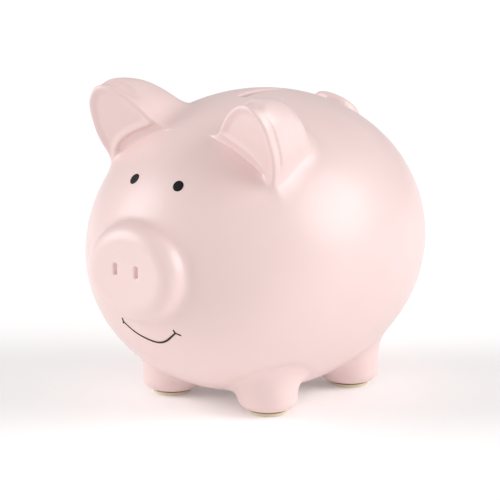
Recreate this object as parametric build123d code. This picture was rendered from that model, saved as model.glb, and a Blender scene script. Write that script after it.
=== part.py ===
from build123d import *
import os
from math import cos, pi, sin

os.makedirs("parts", exist_ok=True)

# Frame: +Z up, the pig looks along -Y and its left side is +X. Origin on the floor, under the
# middle of the bank's outer box. Millimetres throughout.

# ---- body -------------------------------------------------------------------------------------
BODY_RADIUS = 76.5
BODY_HALF_LENGTH = 96.5
BODY_LOWER_HEIGHT = 73.5
BODY_CENTRE_Y = 2.5
BODY_CENTRE_Z = 76.0
WALL = 4.5
BELLY_Z = 7.0
SLOT_LENGTH = 36.0
SLOT_WIDTH = 5.0
SLOT_CENTRE_Y = 6.5
HOLE_RADIUS = 16.0
HOLE_Y = 5.4
HOLE_CUTTER_HEIGHT = 27.0

# ---- legs and pads ----------------------------------------------------------------------------
LEG_X = 30.6
FRONT_LEG_Y = -28.2
REAR_LEG_Y = 39.0
LEG_RADIUS = 14.6
LEG_BOTTOM_Z = 2.2
LEG_TOP_Z = 40.0
LEG_EDGE_ROUND = 5.0
LEG_ROOT_ROUND = 5.0
# The seam between leg and belly is found this far either side of the leg's own radius.
LEG_SEAM_BAND = 1.0
PAD_RADIUS = 9.7
PAD_HEIGHT = 1.6
ADHESIVE_RADIUS = 9.3

# ---- snout ------------------------------------------------------------------------------------
SNOUT_FACE_Y = -99.0
SNOUT_BACK_Y = -70.0
SNOUT_Z = 78.0
SNOUT_HALF_WIDTH = 27.5
SNOUT_HALF_HEIGHT = 24.0
SNOUT_RIM_ROUND = 8.5
NOSTRIL_X = 6.45
NOSTRIL_Z = 79.8
NOSTRIL_WIDTH = 2.6
NOSTRIL_HEIGHT = 7.0
NOSTRIL_DEPTH = 1.6

# ---- face paint -------------------------------------------------------------------------------
PAINT_THICKNESS = 0.3
EYE_X = 13.6
EYE_Z = 118.6
EYE_RADIUS = 2.7
MOUTH_LINE_WIDTH = 0.9
MOUTH_POINTS = [(-11.6, 51.0), (-5.0, 46.2), (2.6, 43.3), (7.8, 42.8), (12.6, 44.7), (18.6, 49.4)]
MOUTH_LEFT_TICK = [(-11.4, 52.8), (-11.6, 51.0), (-12.2, 50.0)]
MOUTH_RIGHT_TICK = [(18.2, 50.9), (18.6, 49.4), (20.7, 48.4)]

# ---- ears -------------------------------------------------------------------------------------
# Outline of the front face in its own plane: a pointed inner tip, over the top, down the outer
# edge to the lower corner, and back along the free lower edge.
EAR_UPPER_EDGE = [(-22.8, -2.1), (-14.0, 8.8), (-3.5, 16.8), (5.5, 16.8), (11.8, 8.6), (13.1, -2.0),
                  (12.0, -12.0), (7.1, -23.0)]
EAR_LOWER_EDGE = [(7.1, -23.0), (2.0, -15.0), (-6.9, -8.6), (-22.8, -2.1)]
EAR_FACE_NORMAL = (-0.15, -0.92, -0.366)
EAR_FACE_RIGHT = (0.989, -0.140, -0.0555)
EAR_FACE_CENTRE = (42.5, -57.6, 142.4)
# Each section, from the front face back to the root: its depth behind the face, the width and height
# of the outline there as shares of the face, and its shift towards the pig's left and up.
EAR_SECTIONS = [(0.0, 1.0, 1.0, 0.0, 0.0), (8.0, 0.99, 0.98, -0.6, -0.3), (18.7, 0.97, 0.89, -3.0, -3.2),
                (28.0, 0.94, 0.77, -5.3, -9.6), (41.0, 0.5, 0.5, -10.5, -33.0)]

# ---- tail -------------------------------------------------------------------------------------
TAIL_CENTRE = (0.0, 66.5, 136.5)
TAIL_NORMAL = (0.0, 0.575, 0.818)
TAIL_DOWN = (0.0, 0.818, -0.575)
TAIL_START_RADIUS = 12.2
TAIL_END_RADIUS = 5.0
TAIL_START_HEIGHT = -5.0
TAIL_END_HEIGHT = 0.8
TAIL_TURNS = 1.35
TAIL_STATIONS = 16
TAIL_TUBE_RADIUS = 3.3
TAIL_TIP_RADIUS = 1.8

# ---- stopper ----------------------------------------------------------------------------------
PLUG_RADIUS = 15.88
PLUG_TOP_Z = 15.5
PLUG_BORE_RADIUS = 13.4
PLUG_BORE_FLOOR_Z = 9.2
FLANGE_RADIUS = 19.5
FLANGE_BOTTOM_Z = 5.0
FLANGE_TOP_Z = 6.95
TAB_LENGTH = 14.0
TAB_WIDTH = 3.0
TAB_BOTTOM_Z = 3.2


def egg(inset):
    """Closed body form, inset inwards from the outer skin (negative grows it)."""
    width = BODY_RADIUS - inset
    length = BODY_HALF_LENGTH - inset
    upper = scale(Sphere(1), by=(width, length, BODY_RADIUS - inset))
    lower = scale(Sphere(1), by=(width, length, BODY_LOWER_HEIGHT - inset))
    # Far larger than the body, so only its lower face trims anything.
    half = Box(4 * width, 4 * length, 4 * width, align=(Align.CENTER, Align.CENTER, Align.MIN))
    form = (upper & half) + (lower & half.mirror(Plane.XY))
    belly = Pos(0, 0, BELLY_Z + inset - BODY_CENTRE_Z) * half
    return Pos(0, BODY_CENTRE_Y, BODY_CENTRE_Z) * (form & belly)


def coin_slot():
    """Cutter for the slot through the top of the back."""
    outline = Plane.XY * SlotOverall(SLOT_LENGTH, SLOT_WIDTH, rotation=90)
    return Pos(0, SLOT_CENTRE_Y, BODY_CENTRE_Z) * extrude(outline, 2 * BODY_RADIUS)


def body_shell(outer):
    """Hollow body with the coin slot and the round emptying hole."""
    hole = Pos(0, HOLE_Y, BELLY_Z) * Cylinder(HOLE_RADIUS, HOLE_CUTTER_HEIGHT)
    return outer - egg(WALL) - coin_slot() - hole


def edges_near(shape, lowest, highest, radius_limits, centre):
    """Edges of a shape whose middle lies in a height band and a ring about a vertical axis."""
    found = []
    for edge in shape.edges():
        middle = edge @ 0.5
        reach = ((middle.X - centre[0]) ** 2 + (middle.Y - centre[1]) ** 2) ** 0.5
        if lowest < middle.Z < highest and radius_limits[0] < reach < radius_limits[1]:
            found.append(edge)
    return found


def leg(outer, y):
    """Stubby round leg with a rounded foot, trimmed to the belly and flared into it."""
    height = LEG_TOP_Z - LEG_BOTTOM_Z
    column = Cylinder(LEG_RADIUS, height, align=(Align.CENTER, Align.CENTER, Align.MIN))
    column = fillet(column.edges().group_by(Axis.Z)[0], LEG_EDGE_ROUND)
    column = Pos(LEG_X, y, LEG_BOTTOM_Z) * column
    joined = outer + column
    ring = (LEG_RADIUS - LEG_SEAM_BAND, LEG_RADIUS + LEG_SEAM_BAND)
    root = edges_near(joined, LEG_BOTTOM_Z + LEG_EDGE_ROUND, LEG_TOP_Z, ring, (LEG_X, y))
    return fillet(root, LEG_ROOT_ROUND) - outer


def pad(y):
    return Pos(LEG_X, y, 0) * Cylinder(PAD_RADIUS, PAD_HEIGHT, align=(Align.CENTER, Align.CENTER, Align.MIN))


def pad_adhesive(y):
    disc = Cylinder(ADHESIVE_RADIUS, LEG_BOTTOM_Z - PAD_HEIGHT, align=(Align.CENTER, Align.CENTER, Align.MIN))
    return Pos(LEG_X, y, PAD_HEIGHT) * disc


def snout(outer):
    """Oval snout with a broad rounded rim and two shallow nostrils, trimmed to the face."""
    face_plane = Plane(origin=(0, SNOUT_BACK_Y, SNOUT_Z), x_dir=(1, 0, 0), z_dir=(0, -1, 0))
    disc = extrude(face_plane * Ellipse(SNOUT_HALF_WIDTH, SNOUT_HALF_HEIGHT), SNOUT_BACK_Y - SNOUT_FACE_Y)
    disc = fillet(disc.edges().group_by(Axis.Y)[0], SNOUT_RIM_ROUND)
    trimmed = disc - outer
    nostril_plane = Plane(origin=(0, SNOUT_FACE_Y, NOSTRIL_Z), x_dir=(1, 0, 0), z_dir=(0, 1, 0))
    pocket = extrude(SlotOverall(NOSTRIL_HEIGHT, NOSTRIL_WIDTH, rotation=90), NOSTRIL_DEPTH)
    for side in (-1, 1):
        trimmed = trimmed - nostril_plane * Pos(side * NOSTRIL_X, 0, 0) * pocket
    return trimmed


def ear_section(depth, width, height, shift_left, shift_up):
    """One closed outline of the ear, parallel to its front face."""
    plane = Plane(origin=EAR_FACE_CENTRE, x_dir=EAR_FACE_RIGHT, z_dir=EAR_FACE_NORMAL).offset(-depth)
    upper = Spline([(shift_left + width * u, shift_up + height * v) for u, v in EAR_UPPER_EDGE])
    lower = Spline([(shift_left + width * u, shift_up + height * v) for u, v in EAR_LOWER_EDGE])
    return plane * make_face(upper + lower)


def left_ear(outer):
    """Thick folded ear: a forward-leaning face tapering back and down into the head."""
    form = loft([ear_section(*section) for section in EAR_SECTIONS])
    return form - outer


def tail(outer):
    """Flat coil that leaves the rump, winds round once and ends in a rounded tip inside itself."""
    points = []
    for station in range(TAIL_STATIONS + 1):
        share = station / TAIL_STATIONS
        turn = 2 * pi * TAIL_TURNS * share
        radius = TAIL_START_RADIUS + (TAIL_END_RADIUS - TAIL_START_RADIUS) * share
        lift = TAIL_END_HEIGHT + (TAIL_START_HEIGHT - TAIL_END_HEIGHT) * (1 - share) ** 3
        along = Vector(*TAIL_DOWN) * (radius * cos(turn)) + Vector(1, 0, 0) * (radius * sin(turn))
        points.append(Vector(*TAIL_CENTRE) + along + Vector(*TAIL_NORMAL) * lift)
    path = Spline(points)
    root = Plane(origin=path @ 0, z_dir=path % 0) * Circle(TAIL_TUBE_RADIUS)
    tip = Plane(origin=path @ 1, z_dir=path % 1) * Circle(TAIL_TIP_RADIUS)
    tube = sweep([root, tip], path=path, multisection=True)
    rounded = tube + Pos(*(path @ 1)) * Sphere(TAIL_TIP_RADIUS)
    return rounded - outer


def paint_layer():
    """Thin skin over the body from which the enamel details are cut."""
    return egg(-PAINT_THICKNESS) - egg(0)


def front_prism(face_sketch):
    """Extrude a sketch drawn in (x, z) through the front half of the body."""
    plane = Plane(origin=(0, 0, 0), x_dir=(1, 0, 0), z_dir=(0, -1, 0))
    return extrude(plane * face_sketch, 2 * BODY_HALF_LENGTH)


def eye(layer, side):
    """Dot of enamel, round on the skin wherever the skin slopes."""
    across = EYE_X / BODY_RADIUS
    up = (EYE_Z - BODY_CENTRE_Z) / BODY_RADIUS
    y = BODY_CENTRE_Y - BODY_HALF_LENGTH * (1 - across ** 2 - up ** 2) ** 0.5
    return layer & (Pos(side * EYE_X, y, EYE_Z) * Sphere(EYE_RADIUS))


def mouth_line(layer):
    """Painted smile: one curve with a short tick across each end."""
    line = trace(Spline(MOUTH_POINTS), MOUTH_LINE_WIDTH)
    line += trace(Polyline(MOUTH_LEFT_TICK), MOUTH_LINE_WIDTH)
    line += trace(Polyline(MOUTH_RIGHT_TICK), MOUTH_LINE_WIDTH)
    return layer & front_prism(line)


def stopper():
    """Soft bung: hollow plug, flange under the belly and a pull tab."""
    low = (Align.CENTER, Align.CENTER, Align.MIN)
    bung = Pos(0, 0, FLANGE_BOTTOM_Z) * Cylinder(FLANGE_RADIUS, FLANGE_TOP_Z - FLANGE_BOTTOM_Z, align=low)
    bung += Pos(0, 0, FLANGE_BOTTOM_Z) * Cylinder(PLUG_RADIUS, PLUG_TOP_Z - FLANGE_BOTTOM_Z, align=low)
    bung -= Pos(0, 0, PLUG_BORE_FLOOR_Z) * Cylinder(PLUG_BORE_RADIUS, PLUG_TOP_Z, align=low)
    tab = extrude(SlotOverall(TAB_LENGTH, TAB_WIDTH), FLANGE_BOTTOM_Z - TAB_BOTTOM_Z)
    bung += Pos(0, 0, TAB_BOTTOM_Z) * tab
    return Pos(0, HOLE_Y, 0) * bung


def save(name, shape):
    shape.label = name
    export_step(shape, f"parts/{name}.step")


def save_pair(pattern, left_shape):
    """Write the pig's left-hand piece and its mirror image."""
    save(pattern.format("left"), left_shape)
    save(pattern.format("right"), left_shape.mirror(Plane.YZ))


def main():
    outer = egg(0)
    save("body_shell", body_shell(outer))
    save("snout", snout(outer))
    save("tail", tail(outer))
    save_pair("{}_ear", left_ear(outer))
    for place, y in (("front", FRONT_LEG_Y), ("rear", REAR_LEG_Y)):
        save_pair(place + "_{}_leg", leg(outer, y))
        save_pair(place + "_{}_pad", pad(y))
        save_pair(place + "_{}_pad_adhesive", pad_adhesive(y))
    layer = paint_layer()
    save("left_eye", eye(layer, 1))
    save("right_eye", eye(layer, -1))
    save("mouth_line", mouth_line(layer))
    save("stopper", stopper())


main()
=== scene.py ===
"""Looks of the piggy bank: separate glazed castings that share one skin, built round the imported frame."""

import math

import bpy
import numpy as np
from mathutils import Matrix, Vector


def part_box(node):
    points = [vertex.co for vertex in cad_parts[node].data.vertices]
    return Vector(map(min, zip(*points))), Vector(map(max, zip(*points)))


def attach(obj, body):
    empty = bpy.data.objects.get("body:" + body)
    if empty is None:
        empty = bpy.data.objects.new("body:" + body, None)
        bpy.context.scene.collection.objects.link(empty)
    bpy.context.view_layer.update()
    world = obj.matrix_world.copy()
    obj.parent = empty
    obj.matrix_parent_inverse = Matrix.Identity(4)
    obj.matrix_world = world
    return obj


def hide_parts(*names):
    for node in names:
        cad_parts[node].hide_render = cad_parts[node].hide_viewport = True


MM = 0.001

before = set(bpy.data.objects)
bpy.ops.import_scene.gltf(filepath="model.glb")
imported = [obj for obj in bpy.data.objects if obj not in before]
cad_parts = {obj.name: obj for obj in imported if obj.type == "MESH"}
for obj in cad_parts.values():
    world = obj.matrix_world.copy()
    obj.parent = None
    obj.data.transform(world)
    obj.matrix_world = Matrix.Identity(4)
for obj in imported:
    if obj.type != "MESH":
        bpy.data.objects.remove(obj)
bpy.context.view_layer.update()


# ---- places read from the frame, in millimetres --------------------------------------------------

def box_mm(node):
    """Lowest and highest corner of a CAD node, in millimetres."""
    low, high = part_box(node)
    return np.array(low) / MM, np.array(high) / MM


def middle_mm(node):
    low, high = box_mm(node)
    return (low + high) / 2


BODY_LOW, BODY_HIGH = box_mm("body_shell")
BODY_CENTRE_Z = 76.0
BODY_CENTRE = np.array([0.0, (BODY_LOW[1] + BODY_HIGH[1]) / 2, BODY_CENTRE_Z])
BODY_RADIUS = (BODY_HIGH[0] - BODY_LOW[0]) / 2
BODY_HALF_LENGTH = (BODY_HIGH[1] - BODY_LOW[1]) / 2
BODY_LOWER_HEIGHT = 73.5
BELLY_Z = BODY_LOW[2]
BELLY_EDGE_ROUND = 3.0
WALL = 4.5
SLOT_LENGTH = 36.0
SLOT_WIDTH = 5.0
SLOT_CENTRE_Y = 6.5
SLOT_EDGE_ROUND = 3.0
HOLE_RADIUS = 16.0
HOLE_EDGE_ROUND = 0.8
HOLE_CENTRE = middle_mm("stopper")
LEG_RADIUS = 14.6
LEG_FOOT_ROUND = 5.5
LEG_BLEND = 11.0
LEG_TOP_Z = 40.0
SNOUT_LOW, SNOUT_HIGH = box_mm("snout")
SNOUT_RIM_ROUND = 8.8
SNOUT_BLEND = 5.5
# The root fillet swells the face by this much, so the face starts further back.
SNOUT_FACE_TRIM = 0.10
NOSTRIL_X = 6.45
NOSTRIL_Z = 79.8
NOSTRIL_RADIUS = 0.9
NOSTRIL_HALF_RUN = 1.9
NOSTRIL_DEPTH = 2.1
NOSTRIL_EDGE_ROUND = 1.9
PAINT_THICKNESS = 0.3
EYE_RADIUS = 2.65
EYE_TALL = np.array([1.0, 1.0, 0.86])
EYE_LIFT = np.array([0.0, 0.0, 0.4])
EAR_BLEND = 9.0
TAIL_BLEND = 4.0
# Past the blend a casting dives under the body skin at this slope, down to this depth.
ROOT_SLOPE = 0.25
ROOT_DEPTH = 0.8
ROOT_MARGIN = 6.0

LEG_NODES = ["front_left_leg", "front_right_leg", "rear_left_leg", "rear_right_leg"]


# ---- small solid geometry on arrays of points -----------------------------------------------------

def smooth_min(a, b, reach):
    """Union of two distances with a soft fillet about as wide as reach."""
    near = np.maximum(reach - np.abs(a - b), 0.0) / reach
    return np.minimum(a, b) - near ** 3 * reach / 6


def smooth_max(a, b, reach):
    return -smooth_min(-a, -b, reach)


def rounded_corner(a, b, radius):
    """Intersection of two distances whose meeting edge is rounded to radius."""
    p = np.maximum(a + radius, 0.0)
    q = np.maximum(b + radius, 0.0)
    return np.hypot(p, q) + np.minimum(np.maximum(a, b) + radius, 0.0) - radius


def ellipse_distance(parts, sizes):
    """Near-surface distance to an ellipse or ellipsoid from coordinates and semi-axes."""
    unit = np.sqrt(sum((c / s) ** 2 for c, s in zip(parts, sizes)))
    slope = np.sqrt(sum((c / s ** 2) ** 2 for c, s in zip(parts, sizes)))
    return unit * (unit - 1.0) / np.maximum(slope, 1e-9)


def egg_distance(p, inset):
    """The round body form; inset moves its skin inwards."""
    q = p - BODY_CENTRE
    height = np.where(q[:, 2] > 0, BODY_RADIUS, BODY_LOWER_HEIGHT) - inset
    parts = (q[:, 0], q[:, 1], q[:, 2])
    form = ellipse_distance(parts, (BODY_RADIUS - inset, BODY_HALF_LENGTH - inset, height))
    return smooth_max(form, BELLY_Z + inset - p[:, 2], BELLY_EDGE_ROUND)


def skin_distance(p):
    return egg_distance(p, 0.0)


def slot_distance(p):
    """Upright wall of the coin slot, rounded at both ends."""
    run = np.maximum(np.abs(p[:, 1] - SLOT_CENTRE_Y) - (SLOT_LENGTH - SLOT_WIDTH) / 2, 0.0)
    side = np.hypot(p[:, 0], run) - SLOT_WIDTH / 2
    return np.maximum(side, BODY_CENTRE[2] - p[:, 2])


def hole_distance(p):
    side = np.hypot(p[:, 0] - HOLE_CENTRE[0], p[:, 1] - HOLE_CENTRE[1]) - HOLE_RADIUS
    return np.maximum(side, p[:, 2] - BODY_CENTRE[2])


def shell_distance(p):
    """Hollow body with its slot and emptying hole, their edges softened by glaze."""
    wall = np.maximum(skin_distance(p), -egg_distance(p, WALL))
    wall = smooth_max(wall, -slot_distance(p), SLOT_EDGE_ROUND)
    return smooth_max(wall, -hole_distance(p), HOLE_EDGE_ROUND)


def leg_distance(p, node):
    centre = middle_mm(node.replace("_leg", "_pad"))
    bottom = box_mm(node)[0][2]
    side = np.hypot(p[:, 0] - centre[0], p[:, 1] - centre[1]) - LEG_RADIUS
    column = rounded_corner(side, bottom - p[:, 2], LEG_FOOT_ROUND)
    return np.maximum(column, p[:, 2] - LEG_TOP_Z)


def nostril_distance(p, side):
    run = np.maximum(np.abs(p[:, 2] - NOSTRIL_Z) - NOSTRIL_HALF_RUN, 0.0)
    wall = np.hypot(p[:, 0] - side * NOSTRIL_X, run) - NOSTRIL_RADIUS
    return rounded_corner(wall, p[:, 1] - SNOUT_LOW[1] - NOSTRIL_DEPTH, 0.8)


def snout_distance(p):
    centre = (SNOUT_LOW + SNOUT_HIGH) / 2
    half = (SNOUT_HIGH - SNOUT_LOW) / 2
    side = ellipse_distance((p[:, 0] - centre[0], p[:, 2] - centre[2]), (half[0], half[2]))
    form = rounded_corner(side, SNOUT_LOW[1] + SNOUT_FACE_TRIM - p[:, 1], SNOUT_RIM_ROUND)
    return np.maximum(form, p[:, 1] - BODY_CENTRE[1])


def smooth_step(value, start, end):
    share = np.clip((value - start) / (end - start), 0.0, 1.0)
    return share * share * (3 - 2 * share)


def curve_through(points, spans=8):
    """Catmull-Rom curve through a list of points."""
    points = np.asarray(points, float)
    padded = np.vstack([2 * points[0] - points[1], points, 2 * points[-1] - points[-2]])
    made = []
    for a, b, c, d in zip(padded, padded[1:], padded[2:], padded[3:]):
        for t in np.arange(spans) / spans:
            made.append(0.5 * (2 * b + (c - a) * t + (2 * a - 5 * b + 4 * c - d) * t ** 2
                               + (3 * b - a - 3 * c + d) * t ** 3))
    return np.vstack(made + [points[-1]])


def outline_distance(flat, outline):
    """Signed distance in the plane to a closed outline, negative inside."""
    nearest = np.full(len(flat), 1e9)
    inside = np.zeros(len(flat), bool)
    for a, b in zip(outline, np.roll(outline, -1, axis=0)):
        run = b - a
        if not run.any():
            continue
        share = np.clip(((flat - a) @ run) / (run @ run), 0.0, 1.0)
        gap = flat - a - share[:, None] * run
        nearest = np.minimum(nearest, (gap ** 2).sum(1))
        if run[1] != 0:
            crossing = (a[1] > flat[:, 1]) != (b[1] > flat[:, 1])
            inside ^= crossing & (flat[:, 0] < a[0] + run[0] * (flat[:, 1] - a[1]) / run[1])
    return np.sqrt(nearest) * np.where(inside, -1.0, 1.0)


# Ear: its front face's centre, its own axes, and the outline of that face.
EAR_ORIGIN = np.array([42.5, -57.6, 142.4])
EAR_RIGHT = np.array([0.989, -0.140, -0.0555])
EAR_FORWARD = np.array([-0.15, -0.92, -0.366])
EAR_UP = np.cross(EAR_FORWARD, EAR_RIGHT)
EAR_UPPER_EDGE = [(-23.2, -2.1), (-14.0, 9.0), (-3.5, 17.0), (5.5, 17.0), (11.8, 8.8), (13.1, -2.0),
                  (12.2, -13.0), (7.6, -26.0)]
EAR_LOWER_EDGE = [(7.6, -26.0), (2.2, -16.0), (-6.9, -9.0), (-23.2, -2.1)]
# Behind the face: depth, width and height of the outline there, and its shift right and up.
EAR_TAPER = np.array([(0.0, 1.0, 1.0, 0.0, 0.0), (8.7, 0.97, 0.96, -0.6, -0.6),
                      (18.7, 0.94, 0.86, -3.0, -3.4), (26.0, 0.91, 0.77, -5.2, -7.7),
                      (30.0, 0.84, 0.72, -7.0, -12.0), (33.5, 0.74, 0.66, -9.0, -17.0),
                      (37.0, 0.60, 0.60, -11.0, -24.0), (41.0, 0.42, 0.50, -13.0, -33.0)])
EAR_TIP_ROUND = 0.8
EAR_TIP_DRAW = 0.96
EAR_RIM_ROUND = 1.7
EAR_DISH = 0.9
EAR_BACK = 41.0
# How fast the underside drops towards the head with depth, and how far down both sides run.
EAR_UNDER_SLOPE = 6.0
EAR_UNDER_START = 0.9
EAR_UNDER_ROUND = 4.0
EAR_ROOT_V = -60.0
# Behind the face the top edge runs on past the inner tip, down into the head.
EAR_TIP_RUN = (-6.0, -8.0)
# The region above the lower edge stays open up to here, beyond any drop of the underside.
EAR_OPEN_V = 400.0


def smooth_interp(value, knots, heights):
    """Cubic curve through uneven knots, with no kink where they meet."""
    tangent = np.gradient(heights, knots)
    spot = np.clip(np.searchsorted(knots, value) - 1, 0, len(knots) - 2)
    span = knots[spot + 1] - knots[spot]
    t = np.clip((value - knots[spot]) / span, 0.0, 1.0)
    start, end = heights[spot], heights[spot + 1]
    rise, fall = tangent[spot] * span, tangent[spot + 1] * span
    return (start * (2 * t ** 3 - 3 * t ** 2 + 1) + end * (3 * t ** 2 - 2 * t ** 3)
            + rise * (t ** 3 - 2 * t ** 2 + t) + fall * (t ** 3 - t ** 2))


def ear_outlines():
    """Two closed outlines whose overlap is the ear: its sides run down past it, and its lower edge up."""
    upper = curve_through(EAR_UPPER_EDGE)
    lower = curve_through(EAR_LOWER_EDGE)
    centre = np.vstack([upper, lower]).mean(0)
    upper, lower = (centre + (edge - centre) * EAR_TIP_DRAW for edge in (upper, lower))
    sides = np.vstack([upper, (upper[-1][0] - 4.0, EAR_ROOT_V), (upper[0][0] + 11.0, EAR_ROOT_V),
                       upper[0] + EAR_TIP_RUN])
    outward = (lower[0] + (20.0, -40.0), lower[-1] + (-40.0, 20.0), (-60.0, EAR_OPEN_V), (60.0, EAR_OPEN_V))
    above = np.vstack([lower, outward[1], outward[2], outward[3], outward[0]])
    return sides, above


EAR_SIDES, EAR_ABOVE = ear_outlines()


def ear_distance(p):
    """Thick folded ear: dished face, a groove behind its rim, and a back that tapers into the head."""
    local = p - EAR_ORIGIN
    u, v, depth = local @ EAR_RIGHT, local @ EAR_UP, -(local @ EAR_FORWARD)
    taper = (smooth_interp(depth, EAR_TAPER[:, 0], EAR_TAPER[:, k]) for k in range(1, 5))
    wide, tall, shift_u, shift_v = taper
    flat = np.stack([(u - shift_u) / wide, (v - shift_v) / tall], 1)
    sides = outline_distance(flat, EAR_SIDES)
    drop = EAR_UNDER_SLOPE * np.maximum(depth - EAR_UNDER_START, 0.0)
    above = outline_distance(flat + np.stack([0 * drop, drop], 1), EAR_ABOVE)
    leaf = np.sqrt(wide * tall) * (smooth_max(sides, above, EAR_UNDER_ROUND) - EAR_TIP_ROUND)
    dish = EAR_DISH * smooth_step(-leaf, 1.0, 5.0)
    form = rounded_corner(leaf, dish - depth, EAR_RIM_ROUND)
    form = np.maximum(form, depth - EAR_BACK)
    top = smooth_step(u, -21.0, -6.0) * (1 - smooth_step(u, 3.0, 11.0)) * smooth_step(v, -2.0, 10.0)
    outer = smooth_step(u, 3.0, 9.0) * smooth_step(v, -24.0, -12.0)
    outer = outer * (1 - 0.6 * smooth_step(v, 2.0, 13.0))
    valley = np.hypot(leaf - 3.0, depth - 6.0) - (1.6 + 3.3 * top)
    groove = np.hypot(leaf, (depth - 4.8) / 1.3) - (1.7 * outer * (1 - top) - 0.9)
    return smooth_max(smooth_max(form, -valley, 1.6), -groove, 1.4)


# Tail: a flat coil on the rump.
TAIL_CENTRE = np.array([0.0, 66.5, 136.5])
TAIL_NORMAL = np.array([0.0, 0.575, 0.818])
TAIL_DOWN = np.array([0.0, 0.818, -0.575])
TAIL_START_RADIUS = 12.2
TAIL_END_RADIUS = 5.0
TAIL_START_HEIGHT = -5.0
TAIL_END_HEIGHT = 0.8
TAIL_TURNS = 1.35
TAIL_TUBE_RADIUS = 3.3
TAIL_TIP_RADIUS = 1.8
TAIL_SPANS = 44


def tail_path():
    share = np.linspace(0.0, 1.0, TAIL_SPANS + 1)
    turn = 2 * math.pi * TAIL_TURNS * share
    radius = TAIL_START_RADIUS + (TAIL_END_RADIUS - TAIL_START_RADIUS) * share
    lift = TAIL_END_HEIGHT + (TAIL_START_HEIGHT - TAIL_END_HEIGHT) * (1 - share) ** 3
    path = TAIL_CENTRE + np.outer(radius * np.cos(turn), TAIL_DOWN) + np.outer(lift, TAIL_NORMAL)
    path[:, 0] += radius * np.sin(turn)
    return path, TAIL_TUBE_RADIUS + (TAIL_TIP_RADIUS - TAIL_TUBE_RADIUS) * share


def path_distance(p, path, radii):
    """Distance to a round tube of changing radius along a path, in two or three dimensions."""
    nearest = np.full(len(p), 1e9)
    for a, b, start, end in zip(path, path[1:], radii, radii[1:]):
        run = b - a
        share = np.clip(((p - a) @ run) / (run @ run), 0.0, 1.0)
        gap = np.sqrt(((p - a - share[:, None] * run) ** 2).sum(1))
        nearest = np.minimum(nearest, gap - (start + (end - start) * share))
    return nearest


TAIL_PATH, TAIL_RADII = tail_path()


def tail_distance(p):
    return path_distance(p, TAIL_PATH, TAIL_RADII)


# Smile: across and up positions with the half-width of the brush line there.
MOUTH_POINTS = [(-11.6, 51.0), (-5.0, 46.2), (2.6, 43.3), (7.8, 42.8), (12.6, 44.7), (18.6, 49.4)]
MOUTH_HALF_WIDTHS = (0.22, 0.48)
MOUTH_LEFT_TICK = [(-11.4, 52.8), (-11.6, 51.0), (-12.2, 50.0)]
MOUTH_RIGHT_TICK = [(18.2, 50.9), (18.6, 49.4), (20.7, 48.4)]
TICK_HALF_WIDTH = 0.36


def mouth_outline(p):
    flat = p[:, [0, 2]]
    line = curve_through(MOUTH_POINTS, 6)
    swell = np.sin(np.linspace(0.15, 0.8, len(line)) * math.pi)
    thin, thick = MOUTH_HALF_WIDTHS
    form = path_distance(flat, line, thin + (thick - thin) * swell)
    for tick in (MOUTH_LEFT_TICK, MOUTH_RIGHT_TICK):
        form = np.minimum(form, path_distance(flat, np.array(tick), np.full(3, TICK_HALF_WIDTH)))
    return form


def painted(outline, base):
    """Film of enamel with a rounded edge, lying on the glaze."""
    def field(p):
        skin = base(p)
        film = rounded_corner(outline(p), skin - PAINT_THICKNESS, 0.25)
        return np.maximum(film, -(skin + 0.4))
    return field


def pad_distance(p, node):
    """Cut felt disc with a soft edge that is never quite round."""
    low, high = box_mm(node)
    centre = (low + high) / 2
    x, y = p[:, 0] - centre[0], p[:, 1] - centre[1]
    angle = np.arctan2(y, x)
    wobble = 0.10 * np.sin(5 * angle + centre[1]) + 0.06 * np.sin(11 * angle + centre[0])
    side = np.hypot(x, y) - (high[0] - low[0]) / 2 + 0.16 - wobble
    face = np.abs(p[:, 2] - centre[2]) - (high[2] - low[2]) / 2
    return rounded_corner(side, face, 0.45)


def adhesive_distance(p, node):
    low, high = box_mm(node)
    centre = (low + high) / 2
    side = np.hypot(p[:, 0] - centre[0], p[:, 1] - centre[1]) - (high[0] - low[0]) / 2
    return rounded_corner(side, np.abs(p[:, 2] - centre[2]) - (high[2] - low[2]) / 2, 0.2)


STOPPER_LOW, STOPPER_HIGH = box_mm("stopper")
PLUG_RADIUS = 15.88
PLUG_BORE_RADIUS = 13.4
PLUG_BORE_FLOOR_Z = 9.2
FLANGE_RADIUS = 19.5
FLANGE_BOTTOM_Z = 5.0
FLANGE_TOP_Z = 6.95
TAB_LENGTH = 14.0
TAB_WIDTH = 3.0
PLUG_GROOVES = (9.2, 11.4, 13.6)


def stopper_distance(p):
    """Moulded bung: ribbed hollow plug, flange with a moulded ring, and a pull tab."""
    x, y, z = p[:, 0] - HOLE_CENTRE[0], p[:, 1] - HOLE_CENTRE[1], p[:, 2]
    reach = np.hypot(x, y)
    grooves = sum(np.exp(-((z - level) / 0.45) ** 2) for level in PLUG_GROOVES)
    top = STOPPER_HIGH[2]
    plug = rounded_corner(reach - PLUG_RADIUS + 0.5 * grooves, np.maximum(z - top, FLANGE_BOTTOM_Z - z), 0.7)
    bore = rounded_corner(reach - PLUG_BORE_RADIUS, PLUG_BORE_FLOOR_Z - z, 1.0)
    ring = np.hypot(reach - 15.5, z - FLANGE_BOTTOM_Z) - 0.7
    flange = rounded_corner(reach - FLANGE_RADIUS, np.maximum(z - FLANGE_TOP_Z, FLANGE_BOTTOM_Z - z), 0.7)
    flange = smooth_max(flange, -ring, 0.5)
    run = np.maximum(np.abs(x) - (TAB_LENGTH - TAB_WIDTH) / 2, 0.0)
    tab = rounded_corner(np.hypot(run, y) - TAB_WIDTH / 2, STOPPER_LOW[2] - z, 0.8)
    tab = np.maximum(tab, z - FLANGE_TOP_Z)
    form = np.minimum(smooth_max(plug, -bore, 0.6), flange)
    return smooth_min(form, tab, 1.0)


# ---- turning a distance into a mesh ---------------------------------------------------------------

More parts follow.
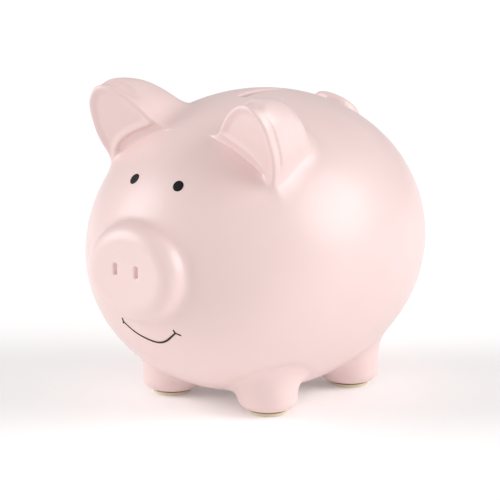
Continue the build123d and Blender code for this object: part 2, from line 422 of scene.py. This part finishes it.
EDGES = [(a, b) for a in range(8) for b in range(a + 1, 8) if bin(a ^ b).count("1") == 1]
CORNERS = np.array([[(c >> 2) & 1, (c >> 1) & 1, c & 1] for c in range(8)])
CHUNK = 400000


def sample(field, points):
    """Field values, worked out in chunks to keep memory small."""
    return np.concatenate([field(points[i:i + CHUNK]) for i in range(0, len(points), CHUNK)])


def surface_net(field, low, high, step):
    """Vertices and quads over the zero level of a field sampled on a grid."""
    low = np.asarray(low, float)
    counts = np.ceil((np.asarray(high, float) - low) / step).astype(int) + 1
    axes = [low[k] + step * np.arange(counts[k]) for k in range(3)]
    grid = np.stack(np.meshgrid(*axes, indexing="ij"), -1).reshape(-1, 3)
    values = sample(field, grid).reshape(counts)
    inside = values < 0
    cells = counts - 1
    total = np.zeros(cells, np.int8)
    for corner in CORNERS:
        part = tuple(slice(o, o + n) for o, n in zip(corner, cells))
        total += inside[part]
    where = np.argwhere((total > 0) & (total < 8))
    corner_values = [values[tuple((where + c).T)] for c in CORNERS]
    place = np.zeros((len(where), 3))
    hits = np.zeros(len(where))
    for a, b in EDGES:
        va, vb = corner_values[a], corner_values[b]
        cross = (va < 0) != (vb < 0)
        share = np.where(cross, va / np.where(cross, va - vb, 1.0), 0.0)
        point = CORNERS[a] + share[:, None] * (CORNERS[b] - CORNERS[a])
        place += point * cross[:, None]
        hits += cross
    vertices = low + step * (where + place / hits[:, None])
    number = np.full(cells, -1, np.int64)
    number[tuple(where.T)] = np.arange(len(where))
    return vertices, net_quads(inside, number)


def net_quads(inside, number):
    """One quad for each grid edge that crosses the surface, facing outwards."""
    quads = []
    for axis in range(3):
        u, v = (axis + 1) % 3, (axis + 2) % 3
        first = np.take(inside, range(inside.shape[axis] - 1), axis)
        second = np.take(inside, range(1, inside.shape[axis]), axis)
        spot = np.argwhere(first != second)
        keep = (spot[:, u] > 0) & (spot[:, v] > 0)
        keep &= (spot[:, u] < number.shape[u]) & (spot[:, v] < number.shape[v])
        spot = spot[keep]
        back_u, back_v = np.eye(3, dtype=int)[u], np.eye(3, dtype=int)[v]
        ring = [spot - back_u - back_v, spot - back_v, spot, spot - back_u]
        corners = np.stack([number[tuple(r.T)] for r in ring], 1)
        leaving = inside[tuple(spot.T)]
        corners[~leaving] = corners[~leaving][:, ::-1]
        quads.append(corners)
    return np.concatenate(quads)


def slope(field, points, reach=0.03):
    """Gradient of a field by central differences."""
    parts = []
    for k in range(3):
        shift = np.zeros(3)
        shift[k] = reach
        parts.append((sample(field, points + shift) - sample(field, points - shift)) / (2 * reach))
    return np.stack(parts, 1)


SETTLE_LIMIT = 0.15


def settle(field, points, rounds=4):
    """Move points onto the field's zero level."""
    for _ in range(rounds):
        rise = slope(field, points)
        size = np.maximum((rise ** 2).sum(1), 1e-6)
        move = rise * (sample(field, points) / size)[:, None]
        length = np.maximum(np.linalg.norm(move, axis=1), 1e-9)
        points = points - move * np.minimum(1.0, SETTLE_LIMIT / length)[:, None]
    return points


def relax(vertices, quads, share=0.5):
    """Even out the vertices by moving each towards the mean of its neighbours."""
    total = np.zeros_like(vertices)
    count = np.zeros(len(vertices))
    for k in range(4):
        a, b = quads[:, k], quads[:, (k + 1) % 4]
        np.add.at(total, a, vertices[b])
        np.add.at(total, b, vertices[a])
        np.add.at(count, a, 1)
        np.add.at(count, b, 1)
    mean = total / np.maximum(count, 1)[:, None]
    return vertices + share * (mean - vertices)


def make_piece(name, vertices, faces, material, normals=None):
    """A Blender mesh object from millimetre vertices."""
    mesh = bpy.data.meshes.new(name)
    mesh.from_pydata((vertices * MM).tolist(), [], faces.tolist() if hasattr(faces, "tolist") else faces)
    mesh.polygons.foreach_set("use_smooth", [True] * len(mesh.polygons))
    if normals is not None:
        mesh.normals_split_custom_set_from_vertices(normals.tolist())
    mesh.materials.append(material)
    mesh.update()
    piece = bpy.data.objects.new(name, mesh)
    bpy.context.scene.collection.objects.link(piece)
    return piece


def skin_piece(name, field, low, high, step, material, shading=None, relaxing=2):
    """Mesh of a field, evened out, settled on the surface and shaded with its true normals."""
    vertices, quads = surface_net(field, low, high, step)
    for _ in range(relaxing):
        vertices = settle(field, relax(vertices, quads), 1)
    vertices = settle(field, vertices)
    normals = slope(shading or field, vertices)
    normals /= np.maximum(np.linalg.norm(normals, axis=1), 1e-9)[:, None]
    return make_piece(name, vertices, quads, material, normals)


def rooted(part, reach):
    """Field of a casting that flares into the body skin and sinks just under it further out."""
    def field(p):
        skin = skin_distance(p)
        own = part(p)
        sunk = skin + ROOT_SLOPE * np.maximum(own - 0.8 * reach, 0.0)
        return np.maximum(smooth_min(own, sunk, reach), -(skin + ROOT_DEPTH))
    return field


def flared(part, reach):
    """Field whose slope gives the shading of a casting, continuous with the body skin."""
    return lambda p: smooth_min(part(p), skin_distance(p), reach)


# ---- materials ------------------------------------------------------------------------------------

def new_material(name):
    material = bpy.data.materials.new(name)
    material.use_nodes = True
    nodes = material.node_tree.nodes
    return material, nodes, material.node_tree.links, nodes["Principled BSDF"]


def noise(nodes, links, scale, detail, roughness=0.5):
    """Noise in object space, so that every casting shares one continuous pattern."""
    place = nodes.new("ShaderNodeTexCoord")
    texture = nodes.new("ShaderNodeTexNoise")
    texture.inputs["Scale"].default_value = scale
    texture.inputs["Detail"].default_value = detail
    texture.inputs["Roughness"].default_value = roughness
    links.new(place.outputs["Object"], texture.inputs["Vector"])
    return texture


def ramp(nodes, links, source, stops):
    """Colour ramp over a 0 to 1 value; stops are (position, colour)."""
    made = nodes.new("ShaderNodeValToRGB")
    elements = made.color_ramp.elements
    while len(elements) < len(stops):
        elements.new(0.5)
    for element, (position, colour) in zip(elements, stops):
        element.position = position
        element.color = (*colour, 1.0)
    links.new(source, made.inputs["Fac"])
    return made


def bump(nodes, links, source, distance, strength):
    made = nodes.new("ShaderNodeBump")
    made.inputs["Distance"].default_value = distance
    made.inputs["Strength"].default_value = strength
    links.new(source, made.inputs["Height"])
    return made


GLAZE_DEEP = (0.795, 0.598, 0.578)
GLAZE_PALE = (0.815, 0.623, 0.603)


def glaze_material():
    """Satin pale-pink glaze: faint cloudiness, fine orange-peel and a soft coat."""
    material, nodes, links, shader = new_material("pink_glaze")
    clouds = noise(nodes, links, 22.0, 3.0)
    colour = ramp(nodes, links, clouds.outputs["Fac"], [(0.3, GLAZE_DEEP), (0.7, GLAZE_PALE)])
    links.new(colour.outputs["Color"], shader.inputs["Base Color"])
    peel = noise(nodes, links, 700.0, 2.0)
    relief = bump(nodes, links, peel.outputs["Fac"], 0.00005, 0.25)
    links.new(relief.outputs["Normal"], shader.inputs["Normal"])
    patches = noise(nodes, links, 60.0, 2.0)
    satin = nodes.new("ShaderNodeMapRange")
    satin.inputs["To Min"].default_value = 0.46
    satin.inputs["To Max"].default_value = 0.54
    links.new(patches.outputs["Fac"], satin.inputs["Value"])
    links.new(satin.outputs["Result"], shader.inputs["Roughness"])
    shader.inputs["Coat Weight"].default_value = 0.6
    shader.inputs["Coat Roughness"].default_value = 0.30
    return material


def enamel_material(name, dark, light, gloss):
    """Fired-on enamel with a slightly uneven brushed film."""
    material, nodes, links, shader = new_material(name)
    film = noise(nodes, links, 900.0, 3.0)
    colour = ramp(nodes, links, film.outputs["Fac"], [(0.35, dark), (0.75, light)])
    links.new(colour.outputs["Color"], shader.inputs["Base Color"])
    relief = bump(nodes, links, film.outputs["Fac"], 0.00003, 0.2)
    links.new(relief.outputs["Normal"], shader.inputs["Normal"])
    shader.inputs["Roughness"].default_value = gloss
    shader.inputs["Specular IOR Level"].default_value = 0.2
    return material


def felt_material():
    """Cream wool felt: tangled fibres in colour and relief, with a little sheen."""
    material, nodes, links, shader = new_material("cream_felt")
    fibres = noise(nodes, links, 2600.0, 6.0, 0.7)
    tones = [(0.3, (0.62, 0.52, 0.36)), (0.7, (0.88, 0.80, 0.62))]
    colour = ramp(nodes, links, fibres.outputs["Fac"], tones)
    links.new(colour.outputs["Color"], shader.inputs["Base Color"])
    relief = bump(nodes, links, fibres.outputs["Fac"], 0.0003, 0.6)
    links.new(relief.outputs["Normal"], shader.inputs["Normal"])
    shader.inputs["Roughness"].default_value = 0.95
    shader.inputs["Sheen Weight"].default_value = 0.4
    return material


def adhesive_painted_shade_material():
    """Foam-tape layer between felt and foot; its dark brown is painted shade for the shadow line between
    foot and felt.
    """
    material, nodes, links, shader = new_material("adhesive")
    cells = noise(nodes, links, 1800.0, 4.0)
    # Dark brown tones on a real adhesive layer: painted shade for the shadow gap between foot and felt.
    tones = [(0.3, (0.20, 0.11, 0.055)), (0.7, (0.33, 0.20, 0.11))]
    colour = ramp(nodes, links, cells.outputs["Fac"], tones)
    links.new(colour.outputs["Color"], shader.inputs["Base Color"])
    relief = bump(nodes, links, cells.outputs["Fac"], 0.0001, 0.4)
    links.new(relief.outputs["Normal"], shader.inputs["Normal"])
    shader.inputs["Roughness"].default_value = 0.7
    return material


def rubber_material():
    """Off-white soft rubber of the stopper, matt with a fine moulded grain."""
    material, nodes, links, shader = new_material("stopper_rubber")
    grain = noise(nodes, links, 1500.0, 4.0)
    tones = [(0.3, (0.66, 0.62, 0.54)), (0.7, (0.74, 0.70, 0.62))]
    colour = ramp(nodes, links, grain.outputs["Fac"], tones)
    links.new(colour.outputs["Color"], shader.inputs["Base Color"])
    relief = bump(nodes, links, grain.outputs["Fac"], 0.00008, 0.35)
    links.new(relief.outputs["Normal"], shader.inputs["Normal"])
    shader.inputs["Roughness"].default_value = 0.62
    return material


GLAZE = glaze_material()
BLACK = enamel_material("black_enamel", (0.004, 0.003, 0.003), (0.010, 0.008, 0.008), 0.35)
BROWN = enamel_material("brown_enamel", (0.020, 0.006, 0.005), (0.060, 0.018, 0.014), 0.45)
FELT = felt_material()
# Adhesive layer material, its dark brown colour painted shade for the gap under the foot.
ADHESIVE_PAINTED_SHADE = adhesive_painted_shade_material()
RUBBER = rubber_material()


def finish_piece(piece, node, body="bank"):
    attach(piece, body)
    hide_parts(node)
    return piece


# ---- ceramic skin -----------------------------------------------------------------------------------

BODY_STEP = 1.1
LEG_STEP = 0.8
SNOUT_STEP = 0.7
EAR_STEP = 0.65
TAIL_STEP = 0.5
PAINT_STEP = 0.2
FITTING_STEP = 0.45


def make_body():
    piece = skin_piece("body_shell_glazed", shell_distance, BODY_LOW - 2, BODY_HIGH + 2, BODY_STEP, GLAZE)
    finish_piece(piece, "body_shell")


def cast_piece(node, part, blend, step):
    """A separate casting luted onto the body, its root flared into the skin."""
    low, high = box_mm(node)
    margin = blend + ROOT_MARGIN
    piece = skin_piece(node + "_glazed", rooted(part, blend), low - margin, high + margin, step, GLAZE,
                       flared(part, blend))
    return finish_piece(piece, node)


def make_legs():
    for node in LEG_NODES:
        cast_piece(node, lambda p, node=node: leg_distance(p, node), LEG_BLEND, LEG_STEP)


def snout_with_nostrils(p):
    form = snout_distance(p)
    for side in (-1, 1):
        form = smooth_max(form, -nostril_distance(p, side), NOSTRIL_EDGE_ROUND)
    return form


def mirror_piece(source, name):
    """Mirror image of a piece across the pig's middle plane."""
    mesh = source.data
    count = len(mesh.vertices)
    vertices = np.empty(count * 3)
    mesh.vertices.foreach_get("co", vertices)
    vertices = vertices.reshape(-1, 3) * (-1, 1, 1) / MM
    faces = [tuple(face.vertices)[::-1] for face in mesh.polygons]
    corner_normals = np.empty(len(mesh.loops) * 3)
    mesh.corner_normals.foreach_get("vector", corner_normals)
    corner_vertices = np.empty(len(mesh.loops), int)
    mesh.loops.foreach_get("vertex_index", corner_vertices)
    normals = np.zeros((count, 3))
    normals[corner_vertices] = corner_normals.reshape(-1, 3) * (-1, 1, 1)
    return make_piece(name, vertices, faces, mesh.materials[0], normals)


def make_ears():
    left = cast_piece("left_ear", ear_distance, EAR_BLEND, EAR_STEP)
    finish_piece(mirror_piece(left, "right_ear_glazed"), "right_ear")


make_body()
make_legs()
cast_piece("snout", snout_with_nostrils, SNOUT_BLEND, SNOUT_STEP)
make_ears()
cast_piece("tail", tail_distance, TAIL_BLEND, TAIL_STEP)


# ---- paint, pads and stopper ------------------------------------------------------------------------

def make_eyes():
    for node in ("left_eye", "right_eye"):
        low, high = box_mm(node)
        centre = settle(skin_distance, ((low + high) / 2 + EYE_LIFT)[None])[0]
        outline = lambda p, centre=centre: np.linalg.norm((p - centre) * EYE_TALL, axis=1) - EYE_RADIUS
        film = painted(outline, skin_distance)
        piece = skin_piece(node + "_enamel", film, low - 1, high + 1, PAINT_STEP, BLACK)
        finish_piece(piece, node)


def make_mouth():
    low, high = box_mm("mouth_line")
    base = flared(snout_distance, SNOUT_BLEND)
    film = painted(mouth_outline, base)
    piece = skin_piece("mouth_line_enamel", film, low - 1, high + 1, PAINT_STEP, BROWN)
    finish_piece(piece, "mouth_line")


def make_pads():
    for leg in LEG_NODES:
        node = leg.replace("_leg", "_pad")
        low, high = box_mm(node)
        field = lambda p, node=node: pad_distance(p, node)
        piece = skin_piece(node + "_felt", field, low - 1, high + 1, FITTING_STEP, FELT)
        finish_piece(piece, node)
        node += "_adhesive"
        low, high = box_mm(node)
        field = lambda p, node=node: adhesive_distance(p, node)
        # The adhesive layer's dark brown is painted shade between foot and felt.
        piece = skin_piece(node + "_layer", field, low - 1, high + 1, FITTING_STEP / 2, ADHESIVE_PAINTED_SHADE)
        finish_piece(piece, node)


def make_stopper():
    piece = skin_piece("stopper_moulding", stopper_distance, STOPPER_LOW - 1, STOPPER_HIGH + 1,
                       FITTING_STEP, RUBBER)
    finish_piece(piece, "stopper", "bung")


make_eyes()
make_mouth()
make_pads()
make_stopper()


# ---- camera, light and floor -------------------------------------------------------------------------

CAMERA_AZIMUTH = 38.1
CAMERA_ELEVATION = 12.9
CAMERA_DISTANCE = 1.5
CAMERA_FOCAL = 216.0
CAMERA_PIVOT = Vector((0.0, 0.0054, 0.076))
FRAMING_RIGHT = -0.0056
FRAMING_UP = -0.00485


def make_camera():
    azimuth, elevation = math.radians(CAMERA_AZIMUTH), math.radians(CAMERA_ELEVATION)
    back = Vector((math.sin(azimuth) * math.cos(elevation), -math.cos(azimuth) * math.cos(elevation),
                   math.sin(elevation)))
    right = Vector((math.cos(azimuth), math.sin(azimuth), 0.0))
    up = back.cross(right)
    data = bpy.data.cameras.new("camera")
    data.lens = CAMERA_FOCAL
    data.clip_end = 50.0
    camera = bpy.data.objects.new("camera", data)
    bpy.context.scene.collection.objects.link(camera)
    camera.location = CAMERA_PIVOT + back * CAMERA_DISTANCE
    target = CAMERA_PIVOT + right * FRAMING_RIGHT + up * FRAMING_UP
    camera.rotation_mode = "QUATERNION"
    camera.rotation_quaternion = (target - camera.location).to_track_quat("-Z", "Y")
    bpy.context.scene.camera = camera


SOFTBOX_ANGLE = 42.0
WORLD_STRENGTH = 0.45
FLOOR_EMISSION = 0.11
FLOOR_HALF_SIZE = 8.0


def soft_light(name, azimuth, elevation, strength):
    """Far, very wide softbox; azimuth runs from the pig's face towards its left side."""
    turn, lift = math.radians(azimuth), math.radians(elevation)
    way = Vector((math.sin(turn) * math.cos(lift), -math.cos(turn) * math.cos(lift), math.sin(lift)))
    data = bpy.data.lights.new(name, "SUN")
    data.angle = math.radians(SOFTBOX_ANGLE)
    data.energy = strength
    light = bpy.data.objects.new(name, data)
    bpy.context.scene.collection.objects.link(light)
    light.location = way
    light.rotation_mode = "QUATERNION"
    light.rotation_quaternion = (-way).to_track_quat("-Z", "Y")


def make_floor():
    material, nodes, links, shader = new_material("studio_floor")
    tone = noise(nodes, links, 3.0, 1.0)
    colour = ramp(nodes, links, tone.outputs["Fac"], [(0.0, (0.94, 0.94, 0.94)), (1.0, (0.96, 0.96, 0.96))])
    links.new(colour.outputs["Color"], shader.inputs["Base Color"])
    shader.inputs["Roughness"].default_value = 0.9
    shader.inputs["Emission Color"].default_value = (1.0, 1.0, 1.0, 1.0)
    shader.inputs["Emission Strength"].default_value = FLOOR_EMISSION
    half = FLOOR_HALF_SIZE
    corners = [(-half, -half, 0.0), (half, -half, 0.0), (half, half, 0.0), (-half, half, 0.0)]
    mesh = bpy.data.meshes.new("studio_floor")
    mesh.from_pydata(corners, [], [(0, 1, 2, 3)])
    mesh.materials.append(material)
    floor = bpy.data.objects.new("studio_floor", mesh)
    bpy.context.scene.collection.objects.link(floor)


def make_world():
    world = bpy.data.worlds.new("studio")
    bpy.context.scene.world = world
    world.use_nodes = True
    background = world.node_tree.nodes["Background"]
    background.inputs["Color"].default_value = (1.0, 1.0, 1.0, 1.0)
    background.inputs["Strength"].default_value = WORLD_STRENGTH
    bpy.context.scene.view_settings.view_transform = "Standard"


make_camera()
make_world()
make_floor()
soft_light("key_right", 120.0, 25.0, 1.95)
soft_light("fill_left", -50.0, 27.0, 1.75)
soft_light("fill_front", 40.0, 20.0, 0.25)
